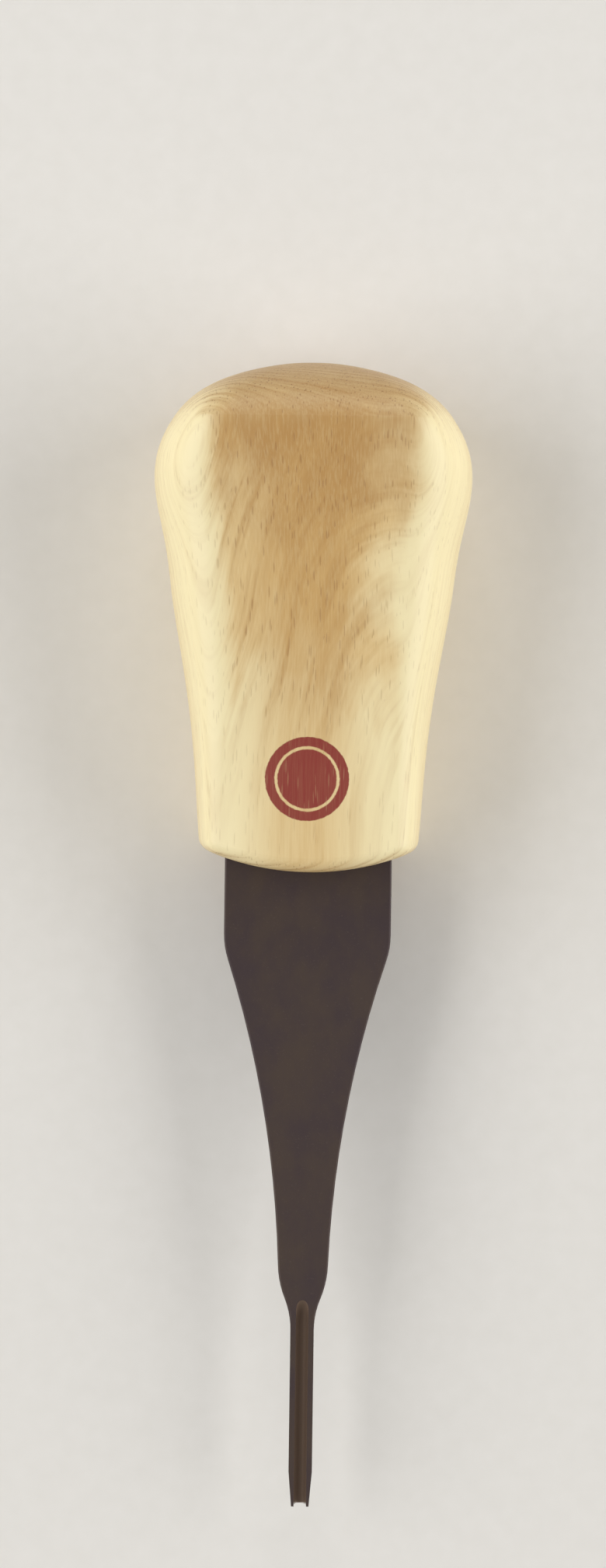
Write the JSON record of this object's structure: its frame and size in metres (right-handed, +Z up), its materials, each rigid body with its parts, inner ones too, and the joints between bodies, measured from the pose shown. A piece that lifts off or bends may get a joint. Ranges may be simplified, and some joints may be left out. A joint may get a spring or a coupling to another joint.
{
  "type": "palm gouge",
  "caption": "Short palm carving gouge: rounded one-piece ash handle, flat spring-steel blade tapering to a narrow stem with a small U-shaped channel and honed cutting edge.",
  "frame": {"origin": "on the flat underside of the handle, below the middle of the tool's overall length and width", "axes": "+Y along the tool from the cutting tip to the butt, +Z up from the flat underside, +X to the right seen from above with the butt up"},
  "size_m": [0.0382, 0.1374, 0.0246],
  "materials": {
    "ash_wood": "clear satin lacquer",
    "tool_steel": "dark tempered spring steel, bright only at the honed tip",
    "epoxy": "cured adhesive"
  },
  "bodies": {
    "root": {"handle": "ash_wood", "blade": "tool_steel", "tang_epoxy": "epoxy"}
  },
  "joints": []
}
